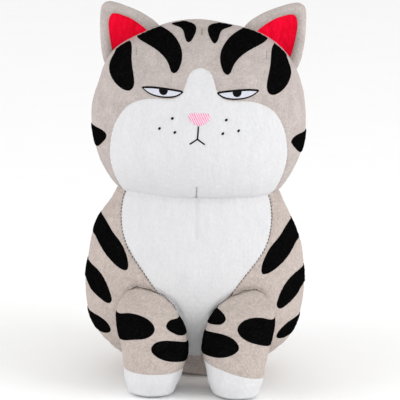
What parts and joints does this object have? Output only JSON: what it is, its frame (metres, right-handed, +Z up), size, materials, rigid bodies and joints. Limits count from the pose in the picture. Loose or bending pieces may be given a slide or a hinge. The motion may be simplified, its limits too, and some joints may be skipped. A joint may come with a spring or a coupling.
{
  "type": "plush cat",
  "caption": "Seated stuffed plush tabby cat with padded ears, sewn-on forelegs and a tail; a soft toy that rests on its flat base and paws.",
  "frame": {"origin": "middle of the flat base, on the surface that the cat sits on", "axes": "+Z up; the cat faces -Y; +X is the cat's own left, so names with left are at +X"},
  "size_m": [0.203, 0.229, 0.3482],
  "materials": {
    "beige_plush": "short-pile plush",
    "white_plush": "short-pile plush",
    "red_plush": "brushed plush",
    "black_felt": "short nap, matt",
    "black_thread": "satin-stitched thread",
    "white_thread": "satin-stitched thread",
    "pink_thread": "satin-stitched thread",
    "beige_thread": "sewing thread",
    "fibre_fill": "loose polyester fibre"
  },
  "bodies": {
    "torso": {"torso_stuffing": "fibre_fill", "base_panel": "beige_plush", "back_panel": "beige_plush", "belly_panel": "white_plush", "flank_panel_left": "beige_plush", "flank_panel_right": "beige_plush", "flank_mark_upper_left": "black_felt", "flank_mark_upper_right": "black_felt", "flank_mark_middle_left": "black_felt", "flank_mark_middle_right": "black_felt", "flank_mark_lower_left": "black_felt", "flank_mark_lower_right": "black_felt", "back_mark_upper": "black_felt", "back_mark_middle": "black_felt", "back_mark_lower": "black_felt", "closing_seam": "beige_thread"},
    "head": {"head_stuffing": "fibre_fill", "muzzle_panel": "white_plush", "face_panel": "beige_plush", "back_of_head_panel": "beige_plush", "crown_mark_left": "black_felt", "crown_mark_right": "black_felt", "forehead_mark_left": "black_felt", "forehead_mark_right": "black_felt", "temple_mark_left": "black_felt", "temple_mark_right": "black_felt", "cheek_mark_left": "black_felt", "cheek_mark_right": "black_felt", "eye_white_left": "white_thread", "eye_white_right": "white_thread", "eye_thread_left": "black_thread", "eye_thread_right": "black_thread", "nose_embroidery": "pink_thread", "mouth_embroidery": "black_thread", "whisker_dots": "black_thread"},
    "tail": {"tail_stuffing": "fibre_fill", "tail_cover": "beige_plush", "tail_tip_cover": "black_felt", "tail_bands": "black_felt"},
    "ear_left": {"ear_padding_left": "fibre_fill", "ear_back_left": "beige_plush", "ear_rim_left": "beige_plush", "ear_lining_left": "red_plush"},
    "foreleg_left": {"leg_stuffing_left": "fibre_fill", "leg_cover_left": "beige_plush", "paw_cover_left": "white_plush", "leg_mark_outer_left": "black_felt", "leg_mark_upper_left": "black_felt", "leg_mark_lower_left": "black_felt"},
    "ear_right": {"ear_padding_right": "fibre_fill", "ear_back_right": "beige_plush", "ear_rim_right": "beige_plush", "ear_lining_right": "red_plush"},
    "foreleg_right": {"leg_stuffing_right": "fibre_fill", "leg_cover_right": "beige_plush", "paw_cover_right": "white_plush", "leg_mark_outer_right": "black_felt", "leg_mark_upper_right": "black_felt", "leg_mark_lower_right": "black_felt"}
  },
  "joints": [
    {"name": "neck_nod", "type": "hinge", "parent": "torso", "child": "head", "pos_m": [0, 0, 0.175], "axis": [1, 0, 0], "range_deg": [-8, 10], "stiffness_Nm_per_rad": 2},
    {"name": "ear_left_fold", "type": "hinge", "parent": "head", "child": "ear_left", "pos_m": [0.0675, 0.009, 0.311], "axis": [0.792, 0, -0.6105], "range_deg": [-20, 30], "stiffness_Nm_per_rad": 0.06},
    {"name": "ear_right_fold", "type": "hinge", "parent": "head", "child": "ear_right", "pos_m": [-0.0675, 0.009, 0.311], "axis": [0.792, 0, 0.6105], "range_deg": [-20, 30], "stiffness_Nm_per_rad": 0.06},
    {"name": "foreleg_left_lift", "type": "hinge", "parent": "torso", "child": "foreleg_left", "pos_m": [0, -0.061, 0.092], "axis": [-1, 0, 0], "range_deg": [0, 25], "stiffness_Nm_per_rad": 0.2},
    {"name": "foreleg_right_lift", "type": "hinge", "parent": "torso", "child": "foreleg_right", "pos_m": [0, -0.061, 0.092], "axis": [-1, 0, 0], "range_deg": [0, 25], "stiffness_Nm_per_rad": 0.2},
    {"name": "tail_swing", "type": "hinge", "parent": "torso", "child": "tail", "pos_m": [0, 0.072, 0.03], "axis": [0, 0, 1], "range_deg": [-35, 35], "stiffness_Nm_per_rad": 0.08}
  ]
}
